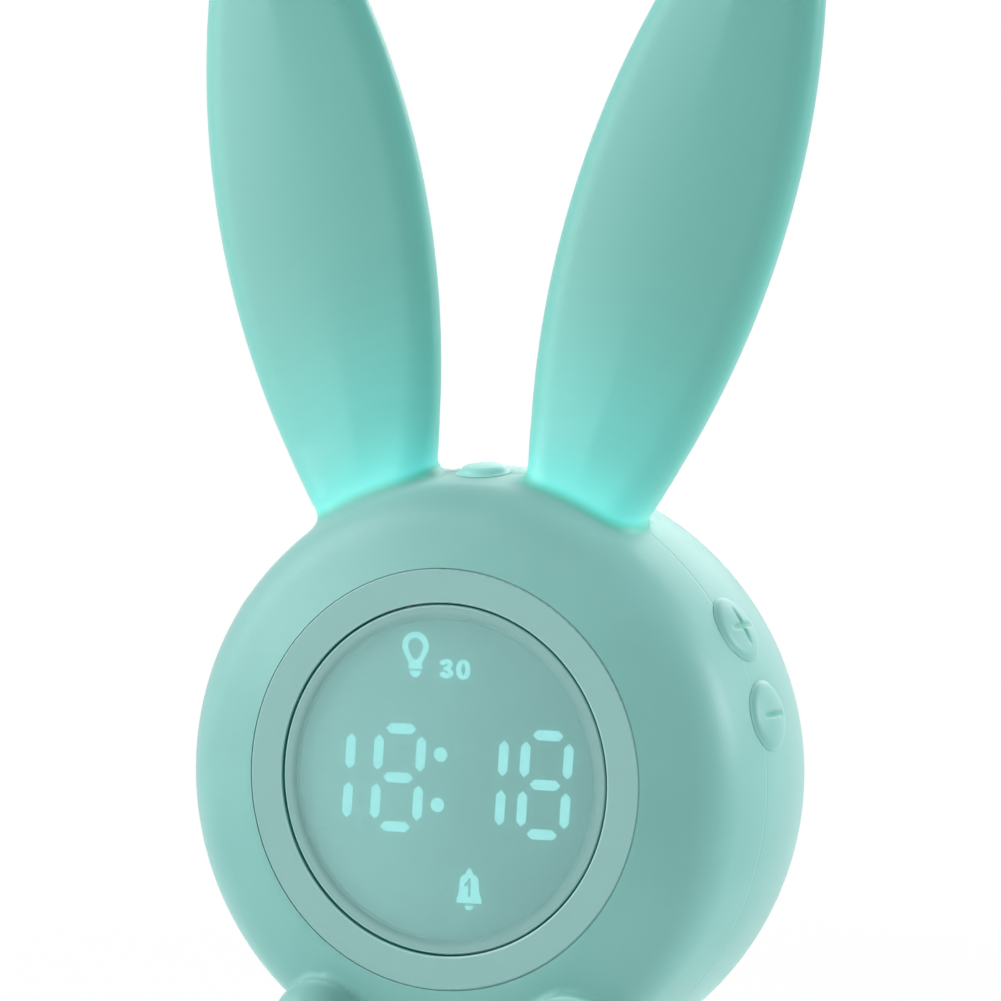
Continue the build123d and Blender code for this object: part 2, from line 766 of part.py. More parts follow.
# Loudspeaker: a dished frame, the paper cone in it and the magnet in front.
with BuildPart() as speaker_frame:
    with BuildSketch(speaker_plane()):
        with BuildLine():
            Polyline(
                (speaker_radius, 0),
                (speaker_radius, speaker_rim),
                (magnet_radius + speaker_rim, speaker_depth),
                (magnet_radius - speaker_rim, speaker_depth),
                (magnet_radius - speaker_rim, speaker_depth - speaker_rim),
                (cone_rim_radius, speaker_rim),
                (cone_rim_radius, 0),
                close=True,
            )
        make_face()
    revolve(axis=speaker_axis)
write(speaker_frame.part, "speaker_frame")
with BuildPart() as speaker_cone:
    with BuildSketch(speaker_plane()):
        with BuildLine():
            Polyline(
                (0, cone_depth - paper_thickness),
                (coil_radius, cone_depth - paper_thickness),
                (cone_rim_radius - cone_gap, paper_thickness),
                (cone_rim_radius - cone_gap, 2 * paper_thickness),
                (coil_radius, cone_depth),
                (0, cone_depth),
                close=True,
            )
        make_face()
    revolve(axis=speaker_axis)
write(speaker_cone.part, "speaker_cone")
with BuildPart() as speaker_magnet:
    with BuildSketch(speaker_plane()):
        with Locations((magnet_radius / 2, speaker_depth + magnet_depth / 2)):
            Rectangle(magnet_radius, magnet_depth)
    revolve(axis=speaker_axis)
write(speaker_magnet.part, "speaker_magnet")

# Charging board on its rails, with the socket and the reset switch on top.
with BuildPart() as charging_board:
    with BuildSketch(cross_plane(board_back_y)):
        with Locations((charging_board_left, socket_base_rise)):
            Rectangle(
                charging_board_right - charging_board_left,
                small_board_thickness,
                align=(Align.MIN, Align.MAX),
            )
    extrude(amount=charging_board_depth - charging_board_gap)
write(charging_board.part, "charging_board")
with BuildPart() as usb_socket:
    with BuildSketch(cross_plane(back_distance - usb_inset)):
        with Locations((0, usb_rise)):
            SlotOverall(usb_width, usb_height)
    extrude(amount=usb_depth)
    with BuildSketch(cross_plane(back_distance - usb_inset)):
        with Locations((0, usb_rise)):
            SlotOverall(usb_width - 2 * usb_wall, usb_height - 2 * usb_wall)
            Rectangle(usb_tongue[0], usb_tongue[1], mode=Mode.SUBTRACT)
    extrude(amount=usb_depth - 2 * usb_wall, mode=Mode.SUBTRACT)
write(usb_socket.part, "usb_socket")
with BuildPart() as reset_switch:
    with BuildSketch(cross_plane(board_back_y)):
        with Locations((reset_x, socket_base_rise)):
            Rectangle(reset_size[0], reset_size[2], align=(Align.CENTER, Align.MIN))
    extrude(amount=reset_size[1])
write(reset_switch.part, "reset_switch")


def screws(places, seat_y, length, head_height):
    """Cross-head screws whose heads rest on the plane at seat_y and face backward."""
    with BuildPart() as form:
        with BuildSketch(cross_plane(seat_y)):
            with Locations(*places):
                Circle(screw_radius)
        extrude(amount=length)
        with BuildSketch(cross_plane(seat_y)):
            with Locations(*places):
                Circle(screw_head_radius)
        extrude(amount=-head_height)
        with BuildSketch(cross_plane(seat_y + head_height)):
            with Locations(*places):
                Rectangle(screw_slot[0], screw_slot[1])
                Rectangle(screw_slot[1], screw_slot[0])
        extrude(amount=screw_slot[2], mode=Mode.SUBTRACT)
    return form.part


column_seat_y = column_end_y + column_floor
write(screws(shell_screws_at, column_seat_y, screw_length, screw_head_height), "shell_screws")
cover_seat_y = back_distance - cover_recess
write(screws(cover_screws_at, cover_seat_y, cover_screw_length, cover_head_height), "cover_screws")
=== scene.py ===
import bmesh
import bpy
import json
from math import acos, asin, atan2, cos, degrees, pi, radians, sin, sqrt
from mathutils import Matrix, Vector
from mathutils.bvhtree import BVHTree
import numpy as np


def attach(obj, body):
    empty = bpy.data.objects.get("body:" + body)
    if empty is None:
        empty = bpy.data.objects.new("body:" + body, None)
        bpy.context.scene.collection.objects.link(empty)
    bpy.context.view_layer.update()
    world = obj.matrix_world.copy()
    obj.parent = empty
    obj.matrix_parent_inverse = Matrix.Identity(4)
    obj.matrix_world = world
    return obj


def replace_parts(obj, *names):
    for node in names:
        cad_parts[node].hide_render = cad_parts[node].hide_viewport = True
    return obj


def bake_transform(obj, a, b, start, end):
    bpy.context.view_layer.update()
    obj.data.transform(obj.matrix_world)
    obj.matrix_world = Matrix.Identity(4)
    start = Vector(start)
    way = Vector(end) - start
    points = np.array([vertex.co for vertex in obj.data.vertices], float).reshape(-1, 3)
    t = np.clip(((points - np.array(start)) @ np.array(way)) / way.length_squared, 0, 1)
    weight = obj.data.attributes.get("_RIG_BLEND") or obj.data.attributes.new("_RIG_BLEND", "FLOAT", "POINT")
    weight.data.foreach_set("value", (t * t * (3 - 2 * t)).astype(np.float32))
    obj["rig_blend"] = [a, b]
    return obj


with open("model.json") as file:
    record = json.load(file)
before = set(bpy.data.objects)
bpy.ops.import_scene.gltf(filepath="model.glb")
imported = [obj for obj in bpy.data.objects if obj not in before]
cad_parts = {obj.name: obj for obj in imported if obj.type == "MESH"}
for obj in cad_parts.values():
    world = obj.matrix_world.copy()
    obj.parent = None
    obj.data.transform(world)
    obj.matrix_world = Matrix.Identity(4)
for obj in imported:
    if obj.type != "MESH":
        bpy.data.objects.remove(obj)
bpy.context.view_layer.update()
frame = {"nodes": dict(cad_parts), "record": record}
print("frame loaded,", len(frame["nodes"]), "nodes")

mm = 0.001  # sizes below are in millimetres, and become metres when a mesh is finished
origin = Vector((0, 0, 0))
depth = Vector((0, 1, 0))
upright = Vector((0, 0, 1))
quarterTurn = Matrix.Rotation(pi / 2, 3, "X")  # from lying flat to facing along the depth
mergeWithin = 0.0005
flush = 0.01  # heights that differ by less count as the same

view = {
    "azimuth": 23.14,
    "elevation": 2.81,
    "roll": 0.64,
    "distance": 900,
    "slideRight": 2.08,
    "slideUp": 41.5,
    "aim": (0, -4.5, 45),
    "lens": 213.25,
    "clipStart": 0.05,  # in metres, and so is clipEnd
    "clipEnd": 30,
}


def sight(azimuth, elevation):
    # right, up and towards the viewer, as seen from that side
    az, el = radians(azimuth), radians(elevation)
    back = Vector((sin(az) * cos(el), -cos(az) * cos(el), sin(el)))
    right = Vector((cos(az), sin(az), 0))
    return right, back.cross(right), back


def addCamera():
    flat, up, back = sight(view["azimuth"], view["elevation"])
    roll = radians(view["roll"])
    right = flat * cos(roll) + up * sin(roll)
    top = up * cos(roll) - flat * sin(roll)
    place = Vector(view["aim"]) + back * view["distance"]
    place += right * view["slideRight"] + top * view["slideUp"]
    data = bpy.data.cameras.new("camera")
    data.lens = view["lens"]
    data.clip_start = view["clipStart"]
    data.clip_end = view["clipEnd"]
    camera = bpy.data.objects.new("camera", data)
    camera.matrix_world = Matrix.Translation(place * mm) @ Matrix((right, top, back)).transposed().to_4x4()
    bpy.context.scene.collection.objects.link(camera)
    bpy.context.scene.camera = camera


lights = {
    "leftBox": {
        "azimuth": -58, "elevation": 24, "distance": 1100, "size": (800, 900),
        "aim": 85, "spread": 180, "power": 9.5,
    },
    "rightBox": {
        "azimuth": 104, "elevation": 20, "distance": 600, "size": (360, 160),
        "aim": 34, "spread": 36, "power": 0.16,
    },
    "backBox": {
        "azimuth": 178, "elevation": 30, "distance": 1200, "size": (900, 700),
        "aim": 85, "spread": 180, "power": 6.0,
    },
}


def addLights():
    for name, box in lights.items():
        right, up, back = sight(box["azimuth"], box["elevation"])
        data = bpy.data.lights.new(name, "AREA")
        data.shape = "RECTANGLE"
        data.size, data.size_y = (side * mm for side in box["size"])
        data.spread = radians(box["spread"])
        data.energy = box["power"]
        lamp = bpy.data.objects.new(name, data)
        place = (upright * box["aim"] + back * box["distance"]) * mm
        lamp.matrix_world = Matrix.Translation(place) @ Matrix((right, up, back)).transposed().to_4x4()
        bpy.context.scene.collection.objects.link(lamp)


class Wire:
    # one output of a node; maths on it adds Math nodes
    def __init__(self, paint, socket):
        self.paint, self.socket = paint, socket

    def maths(self, operation, *values):
        return self.paint.node("ShaderNodeMath", {"operation": operation}, dict(enumerate((self, *values))))

    def __add__(self, other):
        return self.maths("ADD", other)

    def __mul__(self, other):
        return self.maths("MULTIPLY", other)

    def __sub__(self, other):
        return self.maths("SUBTRACT", other)

    def __rsub__(self, other):
        return (self * -1) + other

    def __abs__(self):
        return self.maths("ABSOLUTE")

    def ramp(self, low, high):
        # 0 at low, 1 at high, smooth between; low may be the larger one
        settings = {"interpolation_type": "SMOOTHSTEP"}
        inputs = {"Value": self, "From Min": low, "From Max": high}
        return self.paint.node("ShaderNodeMapRange", settings, inputs)


class Paint:
    # a material or world, and the nodes that are added to it
    def __init__(self, owner):
        owner.use_nodes = True
        self.owner = owner
        self.tree = owner.node_tree
        self.tree.nodes.clear()

    def node(self, kind, settings=None, inputs=None, output=0):
        made = self.tree.nodes.new(kind)
        for key, value in (settings or {}).items():
            setattr(made, key, value)
        for key, value in (inputs or {}).items():
            socket = made.inputs[key]
            if isinstance(value, Wire):
                self.tree.links.new(value.socket, socket)
            else:
                socket.default_value = (*value, 1) if socket.type == "RGBA" and len(value) == 3 else value
        return Wire(self, made.outputs[output]) if len(made.outputs) else made

    def place(self):
        return self.node("ShaderNodeTexCoord", output="Object")

    def axes(self):
        # x, y and z of the place, in millimetres
        split = self.node("ShaderNodeSeparateXYZ", None, {"Vector": self.place()})
        return [Wire(self, out) * (1 / mm) for out in split.socket.node.outputs]

    def noise(self, size, detail=2.0, roughness=0.5):
        # from 0 to 1, with spots of that size in millimetres
        inputs = {"Vector": self.place(), "Scale": 1 / (size * mm), "Detail": detail, "Roughness": roughness}
        return self.node("ShaderNodeTexNoise", {"noise_dimensions": "3D"}, inputs)

    def cloud(self, size, detail=3.0, low=0.3, high=0.7):
        # soft blotches
        return self.noise(size, detail).ramp(low, high)

    def grain(self, size, roughness=0.6):
        return self.noise(size, detail=3.0, roughness=roughness)

    def marked(self, name):
        # a value that the mesh carries at each vertex
        return self.node("ShaderNodeAttribute", {"attribute_name": name}, output="Fac")

    def distance(self, centre):
        # from a place given in millimetres
        inputs = {0: self.place(), 1: tuple(side * mm for side in centre)}
        return self.node("ShaderNodeVectorMath", {"operation": "DISTANCE"}, inputs, "Value") * (1 / mm)

    def blend(self, factor, first, second):
        inputs = {0: factor, 6: first, 7: second}  # the colour sockets of a Mix node go by number
        return self.node("ShaderNodeMix", {"data_type": "RGBA"}, inputs, 2)

    def bump(self, height, distance, strength=0.5):
        inputs = {"Height": height, "Distance": distance * mm, "Strength": strength}
        return self.node("ShaderNodeBump", None, inputs)

    def surface(self, **sockets):
        # Base_Color stands for the socket "Base Color"
        inputs = {key.replace("_", " "): value for key, value in sockets.items()}
        shader = self.node("ShaderNodeBsdfPrincipled", None, inputs)
        self.node("ShaderNodeOutputMaterial", None, {"Surface": shader})
        return self.owner

    def lookedAt(self):
        # 1 where the camera or a reflection sees the surface, 0 where it only lights others
        camera = self.node("ShaderNodeLightPath", output="Is Camera Ray")
        return camera.maths("MAXIMUM", self.node("ShaderNodeLightPath", output="Is Glossy Ray"))


surroundings = {
    "light": 0.36,
    "floorSize": 8000,
    "floorColour": (0.9, 0.9, 0.9),
    "whiteNear": 0.88,
    "nearReach": 60,
    "farReach": 260,
}


def paintStage():
    paint = Paint(bpy.data.materials.new("studioFloor"))
    matte = paint.node("ShaderNodeBsdfDiffuse", None, {"Color": surroundings["floorColour"]})
    white = paint.node("ShaderNodeEmission", None, {"Color": (1, 1, 1), "Strength": 1.0})
    near = surroundings["whiteNear"]
    far = paint.distance((0, 0, 0)).ramp(surroundings["nearReach"], surroundings["farReach"])
    share = far * (1 - near) + near
    shader = paint.node("ShaderNodeMixShader", None, {0: paint.lookedAt() * share, 1: matte, 2: white})
    paint.node("ShaderNodeOutputMaterial", None, {"Surface": shader})
    return paint.owner


def addStage():
    bm = bmesh.new()
    bmesh.ops.create_grid(bm, x_segments=1, y_segments=1, size=surroundings["floorSize"] / 2 * mm)
    mesh = bpy.data.meshes.new("floor")
    bm.to_mesh(mesh)
    bm.free()
    mesh.materials.append(paintStage())
    floor = bpy.data.objects.new("floor", mesh)
    bpy.context.scene.collection.objects.link(floor)
    world = bpy.data.worlds.new("studio")
    bpy.context.scene.world = world
    paint = Paint(world)
    strength = paint.lookedAt() * (1 - surroundings["light"]) + surroundings["light"]
    air = paint.node("ShaderNodeBackground", None, {"Color": (1, 1, 1), "Strength": strength})
    paint.node("ShaderNodeOutputWorld", None, {"Surface": air})


bpy.context.scene.view_settings.view_transform = "Standard"
addCamera()
addLights()
addStage()
print("camera, lights and floor placed")


black = (0, 0, 0)


def srgb(*screen):
    # a screen colour, 0 to 255, as the linear one that a socket takes
    return tuple(((v / 255 + 0.055) / 1.055) ** 2.4 if v > 10 else v / 255 / 12.92 for v in screen)


ball = {
    "radius": 46.6,
    "centre": Vector((0, 0, 45)),
    "faceY": -21.3,
    "faceRadius": 31.7,
    "faceRise": 0.5,
    "crownRadius": 131,
    "frontRimRadius": 9,
    "backY": 38,
    "backRimRadius": 6,
    "steps": (24, 24, 110, 16),  # of the crown, the front rim, the round wall and the back rim
}
silicone = {
    "colour": srgb(127, 189, 183),
    "pale": srgb(136, 198, 192),
    "deep": srgb(118, 180, 174),
    "cloudSize": 34,
    "evenShare": 0.5,
    "grainSize": 0.45,
    "grainHeight": 0.03,
    "grainRoughness": 0.1,
    "leastRoughness": 0.41,
    "bumpStrength": 0.6,
    "sheen": 0.8,
    "sheenRoughness": 0.45,
    "sheenTint": srgb(225, 255, 250),
    "partingY": -6.5,
    "partingWidth": 0.3,
    "partingDepth": 0.1,
    "partingShade": 0.2,
    # painted shade for the creases round the toes
    "toeCreaseShade": srgb(98, 166, 157),
    "ear": srgb(106, 184, 173),
    "earShare": 0.8,
    # painted light: the saturated green of the ears' glow, laid in the crease at each ear's base
    "creaseGlowTint": srgb(58, 184, 158),
    "creaseGlowShare": 0.6,
    "earGlow": (0.025, 0.45, 0.425),
    "rimGlow": (0.0, 0.1, 0.082),
    "topKeyPaintedGlow": (0.09, 0.22, 0.195),
    "signRecessShade": srgb(36, 156, 136),
    "signShadeShare": 0.85,
}
# where each of these starts and ends, in height over the ball, or over the ground where its name says so
reaches = {
    "partingEnd": (1.0, 2.0),
    "earColour": (0.3, 4.0),
    "creaseStart": (0.1, 0.7),
    "creaseEnd": (0.9, 2.6),
    "glowStart": (0.3, 2.0),
    "glowNear": (-1.0, 13),
    "glowFar": (-1.0, 50),
    "earsFromGround": (60, 66),
    "topKeyFromGround": (76, 84),
}


def paintSilicone(name, moulded):
    # the whole skin is moulded in one and lit from inside at its ears by a painted glow; a key has its sunk
    # sign with painted shade on its floor, and the top key a painted glow
    paint = Paint(bpy.data.materials.new(name))
    grain = paint.grain(silicone["grainSize"])
    colour = paint.blend(paint.cloud(silicone["cloudSize"]), silicone["deep"], silicone["pale"])
    colour = paint.blend(silicone["evenShare"], colour, silicone["colour"])
    height = grain * silicone["grainHeight"]
    _, y, z = paint.axes()
    if moulded:
        above = paint.distance(ball["centre"]) - ball["radius"]
        seam = 1 - abs(y - silicone["partingY"]).ramp(0, silicone["partingWidth"])
        seam = seam * (1 - above.ramp(*reaches["partingEnd"]))
        height = height - seam * silicone["partingDepth"]
        colour = paint.blend(seam * silicone["partingShade"], colour, silicone["deep"])
        # painted shade: darker colour in the crease where each toe meets the ball
        colour = paint.blend(paint.marked("toeCreaseShade"), colour, silicone["toeCreaseShade"])
        earOnly = z.ramp(*reaches["earsFromGround"])
        # painted light: the ears' glow as a saturated green in the crease round each ear's base
        creaseGlowTint = above.ramp(*reaches["creaseStart"]) * (1 - above.ramp(*reaches["creaseEnd"])) * earOnly
        onEar = above.ramp(*reaches["earColour"]) * earOnly
        colour = paint.blend(onEar * silicone["earShare"], colour, silicone["ear"])
        colour = paint.blend(creaseGlowTint * silicone["creaseGlowShare"], colour, silicone["creaseGlowTint"])
        # painted glow: the night lamp's light through the ears, strongest near their base, and along their
        # thin rims
        near = 1 - above.ramp(*reaches["glowNear"])
        far = 1 - above.ramp(*reaches["glowFar"])
        lit = (near * near + far * far) * 0.5 * above.ramp(*reaches["glowStart"]) * earOnly
        glow = paint.blend(lit, black, silicone["earGlow"])
        glow = paint.blend(paint.marked("thin") * (1 - lit), glow, silicone["rimGlow"])
    else:
        # painted shade: darker teal on the floor of the sunk sign
        colour = paint.blend(paint.marked("sunk") * silicone["signShadeShare"], colour, silicone["signRecessShade"])
        # painted glow that lightens the top key
        glow = paint.blend(z.ramp(*reaches["topKeyFromGround"]), black, silicone["topKeyPaintedGlow"])
    return paint.surface(
        Base_Color=colour,
        Roughness=grain * silicone["grainRoughness"] + silicone["leastRoughness"],
        Sheen_Weight=silicone["sheen"],
        Sheen_Roughness=silicone["sheenRoughness"],
        Sheen_Tint=silicone["sheenTint"],
        Normal=paint.bump(height, distance=1.0, strength=silicone["bumpStrength"]),
        Emission_Color=glow,
        Emission_Strength=1.0,
    )


plain = {"cloudToGrain": 8, "leastCloud": 4, "cloudShade": 0.04, "roughnessSpread": 0.16}


def plainFinish(name, colour, roughness=0.5, metallic=0.0, grainSize=0.6, grainDepth=0.02):
    # moulded or metal piece: a slightly cloudy colour and a fine grain
    paint = Paint(bpy.data.materials.new(name))
    cloud = paint.cloud(max(plain["cloudToGrain"] * grainSize, plain["leastCloud"]))
    grain = paint.grain(grainSize)
    shades = (1 - plain["cloudShade"], 1 + plain["cloudShade"])
    deep, pale = (tuple(min(c * shade, 1) for c in colour) for shade in shades)
    return paint.surface(
        Base_Color=paint.blend(cloud, deep, pale),
        Roughness=grain * plain["roughnessSpread"] + (roughness - plain["roughnessSpread"] / 2),
        Metallic=metallic,
        Normal=paint.bump(grain, grainDepth),
    )


resin = {"cloudSize": 1.2, "cloudLow": 0.2, "cloudHigh": 0.8, "cloudShade": 0.93, "roughness": 0.4}


def litFinish(name, colour, strength):
    # diffusing resin with a lamp behind it
    paint = Paint(bpy.data.materials.new(name))
    cloud = paint.cloud(resin["cloudSize"], detail=2.0, low=resin["cloudLow"], high=resin["cloudHigh"])
    glow = paint.blend(cloud, tuple(c * resin["cloudShade"] for c in colour), colour)
    return paint.surface(
        Base_Color=glow,
        Roughness=resin["roughness"],
        Emission_Color=glow,
        Emission_Strength=strength,
    )


# the spans of painted shade on the lens's and ring's walls, and of the painted highlight on the ring's edge,
# are counted outwards from where the chamfer meets the face
display = {
    "centre": Vector((0, -21.15, 45.5)),
    "lensRadius": 26.2,
    "chamfer": 0.3,
    "ringInner": 26.45,
    "tint": srgb(147, 202, 198),
    "tintPale": srgb(153, 208, 204),
    "tintSize": 18,
    # painted highlight for the chamfered edges of the lens and ring
    "rim": srgb(168, 208, 203),
    "lensHighlightWidth": 0.1,
    "rimRoughness": 0.4,
    # painted shade in the gap round the lens
    "gapShadeColour": srgb(74, 164, 156),
    "lensShadedWall": (0.17, 0.23),
    "ringShadedWall": (-0.27, -0.21),
    "border": srgb(138, 184, 180),
    "borderStart": (23.9, 25.4),
    "clearness": 0.6,
    "lensRoughness": 0.14,
    "coat": 0.3,
    "coatRoughness": 0.08,
    "ring": srgb(146, 195, 190),
    "ringShade": 0.97,
    "ringCloud": 5,
    "ringGrain": 0.25,
    "ringDepth": 0.02,
    "ringRoughness": 0.5,
    "ringSpread": 0.14,
    "ringEdgeHighlight": (-0.05, 0.1),
    "ground": srgb(163, 218, 214),
    "groundPale": srgb(167, 224, 220),
    "groundCloud": 2.0,
    "groundRoughness": 0.7,
    # painted glow of the white ground behind the lens, stronger on the left
    "glow": 0.33,
    "paintedGlowColour": (0.44, 0.64, 0.62),
    "paintedGlowAcross": (22, -24),
    "foamSize": 0.5,
    "foamDepth": 0.05,
    "foamShadedWidth": 0.1,
    "foamRoughness": 0.85,
}


def lensFinish():
    # tinted and half clear, with a full border over the gasket, a painted highlight on its chamfer and
    # painted shade on its edge wall
    paint = Paint(bpy.data.materials.new("tintedLens"))
    tint = paint.blend(paint.noise(display["tintSize"]), display["tint"], display["tintPale"])
    reach = paint.distance(display["centre"])
    edge = display["lensRadius"] - display["chamfer"]
    border = reach.ramp(*display["borderStart"])
    # painted highlight along the lens's chamfer
    rim = reach.ramp(edge - display["lensHighlightWidth"], edge)
    # painted shade on the lens's edge wall, in the gap to the ring
    shadedWallBand = reach.ramp(*(edge + side for side in display["lensShadedWall"]))
    colour = paint.blend(rim, paint.blend(border, tint, display["border"]), display["rim"])
    return paint.surface(
        Base_Color=paint.blend(shadedWallBand, colour, display["gapShadeColour"]),
        Roughness=rim * display["rimRoughness"] + display["lensRoughness"],
        Alpha=border * display["clearness"] + (1 - display["clearness"]),
        Coat_Weight=display["coat"],
        Coat_Roughness=display["coatRoughness"],
    )


def ringFinish():
    # matte, with a painted highlight on its inner edge and painted shade on the wall inside it
    paint = Paint(bpy.data.materials.new("faceRing"))
    grain = paint.grain(display["ringGrain"])
    deep = tuple(c * display["ringShade"] for c in display["ring"])
    tint = paint.blend(paint.noise(display["ringCloud"], detail=3.0), deep, display["ring"])
    reach = paint.distance(display["centre"])
    edge = display["ringInner"] + display["chamfer"]
    # painted highlight on the ring's inner edge, and painted shade on the wall inside it
    rim, shadedWallBand = (1 - reach.ramp(*(edge + side for side in display[key])) for key in ("ringEdgeHighlight", "ringShadedWall"))
    return paint.surface(
        Base_Color=paint.blend(shadedWallBand, paint.blend(rim, tint, display["rim"]), display["gapShadeColour"]),
        Roughness=grain * display["ringSpread"] + display["ringRoughness"],
        Normal=paint.bump(grain, display["ringDepth"]),
    )


def groundFinish(name):
    # white moulding behind the lens, with a glow painted on it that grows towards the left
    paint = Paint(bpy.data.materials.new(name))
    cloud = paint.cloud(display["groundCloud"], detail=2.0)
    # painted glow, growing towards the left
    side = paint.axes()[0].ramp(*display["paintedGlowAcross"])
    return paint.surface(
        Base_Color=paint.blend(cloud, display["ground"], display["groundPale"]),
        Roughness=display["groundRoughness"],
        Emission_Color=paint.blend(side, black, display["paintedGlowColour"]),
        Emission_Strength=display["glow"],
    )


def gasketFinish():
    # pale foam under the lens, with painted shade in the gap round it
    paint = Paint(bpy.data.materials.new("foamGasket"))
    foam = paint.grain(display["foamSize"], roughness=0.7)
    edge = display["lensRadius"]
    # painted shade on the foam in the gap round the lens
    gasketGapShade = paint.distance(display["centre"]).ramp(edge - display["foamShadedWidth"], edge)
    pale = paint.blend(foam, display["tint"], display["ground"])
    return paint.surface(
        Base_Color=paint.blend(gasketGapShade, pale, display["gapShadeColour"]),
        Roughness=display["foamRoughness"],
        Normal=paint.bump(foam, display["foamDepth"]),
    )


finishes = {
    "inner_casing": plainFinish("whiteCasing", srgb(232, 236, 234)),
    "bezel": ringFinish(),
    "lens": lensFinish(),
    "gasket": gasketFinish(),
    "reflector": groundFinish("displayReflector"),
    "lit_segment": litFinish("litSegment", srgb(166, 232, 233), 1.05),
    "blank_segment": groundFinish("blankSegment"),
    "circuit_board": plainFinish("circuitBoard", srgb(22, 92, 60), roughness=0.35, grainSize=0.3),
    "chip": plainFinish("chipEpoxy", srgb(38, 38, 40), roughness=0.6),
    "lamp": litFinish("lampPhosphor", srgb(235, 240, 190), 0.4),
    "switch": plainFinish("switchBody", srgb(48, 48, 52)),
    "light_guide": plainFinish("milkyGuide", srgb(224, 244, 240), roughness=0.35),
    "nylon": plainFinish("nylonSpacer", srgb(228, 228, 220), roughness=0.45),
    "cell_wrap": plainFinish("foilPouch", srgb(190, 196, 204), roughness=0.3, metallic=0.6, grainSize=1.5),
    "rear_plastic": plainFinish("rearCover", srgb(128, 190, 183), grainSize=0.35, grainDepth=0.04),
    "steel": plainFinish("platedSteel", srgb(176, 178, 182), roughness=0.32, metallic=1.0, grainSize=0.2),
    "magnet": plainFinish("magnetPlate", srgb(120, 122, 126), roughness=0.3, metallic=1.0),
    "paper_cone": plainFinish(
        "pressedPaper", srgb(40, 42, 46), roughness=0.85, grainSize=0.4, grainDepth=0.08
    ),
    "black_plastic": plainFinish("blackMoulding", srgb(36, 38, 40)),
    "silicone": paintSilicone("silicone", True),
    "silicone_button": paintSilicone("siliconeKey", False),
}
for part in frame["record"]["subparts"]:
    node = frame["nodes"][part["node"]]
    node.data.materials.clear()
    node.data.materials.append(finishes[part["material_slot"]])
print("finishes made:", len(finishes))


def lineTo(bm, vert, place):
    # draws an edge from the vertex to the place and returns its far end
    out = bmesh.ops.extrude_vert_indiv(bm, verts=[vert])
    out["verts"][0].co = place
    return out["verts"][0]


def arcTo(bm, vert, centre, turn, steps, axis=upright):
    # turns the vertex about the centre, drawing an arc, and returns its far end
    out = bmesh.ops.spin(bm, geom=[vert], cent=centre, axis=axis, angle=radians(turn), steps=steps)
    return next(item for item in out["geom_last"] if isinstance(item, bmesh.types.BMVert))


def turned(direction):
    # the angle of a direction in the XY plane, in degrees
    return degrees(atan2(direction[1], direction[0]))


def revolve(bm, axis, steps):
    # spins the whole outline once round the axis and closes the seam
    geom = bm.verts[:] + bm.edges[:]
    bmesh.ops.spin(bm, geom=geom, cent=origin, axis=axis, angle=2 * pi, steps=steps, use_merge=True)
    bmesh.ops.remove_doubles(bm, verts=bm.verts, dist=mergeWithin)


def thicken(bm, height):
    # fills the closed outline, which lies flat, and raises it to a solid
    bmesh.ops.contextual_create(bm, geom=bm.edges[:])
    out = bmesh.ops.extrude_face_region(bm, geom=bm.faces[:])
    lifted = [item for item in out["geom"] if isinstance(item, bmesh.types.BMVert)]
    bmesh.ops.translate(bm, vec=upright * height, verts=lifted)
    bmesh.ops.recalc_face_normals(bm, faces=bm.faces)


def climb(edge):
    return abs(edge.verts[0].co.z - edge.verts[1].co.z)


def roundOff(bm, edges, radius, segments):
    bmesh.ops.bevel(bm, geom=edges, offset=radius, segments=segments, profile=0.5, affect="EDGES",
                    material=-1)


def soften(bm, verts, times):
    for _ in range(times):
        bmesh.ops.smooth_vert(bm, verts=verts, factor=0.5, use_axis_x=True, use_axis_y=True, use_axis_z=True)


def finish(bm, name, slot, body="root", smoothAngle=35):
    # makes the object, in metres, with its finish
    bmesh.ops.scale(bm, vec=(mm, mm, mm), verts=bm.verts)
    mesh = bpy.data.meshes.new(name)
    bm.to_mesh(mesh)
    bm.free()
    mesh.materials.append(finishes[slot])
    mesh.shade_smooth()
    mesh.set_sharp_from_angle(angle=radians(smoothAngle))
    piece = bpy.data.objects.new(name, mesh)
    bpy.context.scene.collection.objects.link(piece)
    if body:
        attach(piece, body)
    return piece


def modified(bm, kind, **settings):
    # runs one modifier over the bmesh and returns the result as a new bmesh
    mesh = bpy.data.meshes.new("draft")
    bm.to_mesh(mesh)
    bm.free()
    draft = bpy.data.objects.new("draft", mesh)
    bpy.context.scene.collection.objects.link(draft)
    modifier = draft.modifiers.new(kind.lower(), kind)
    for key, value in settings.items():
        setattr(modifier, key, value)
    shape = draft.evaluated_get(bpy.context.evaluated_depsgraph_get())
    result = bmesh.new()
    result.from_mesh(shape.to_mesh())
    shape.to_mesh_clear()
    bpy.data.objects.remove(draft)
    bpy.data.meshes.remove(mesh)
    return result


def cutBy(bm, cutter):
    # takes the cutter's volume out of the bmesh
    mesh = bpy.data.meshes.new("cutter")
    cutter.to_mesh(mesh)
    cutter.free()
    tool = bpy.data.objects.new("cutter", mesh)
    bpy.context.scene.collection.objects.link(tool)
    result = modified(bm, "BOOLEAN", operation="DIFFERENCE", solver="EXACT", object=tool)
    bpy.data.objects.remove(tool)
    bpy.data.meshes.remove(mesh)
    return result


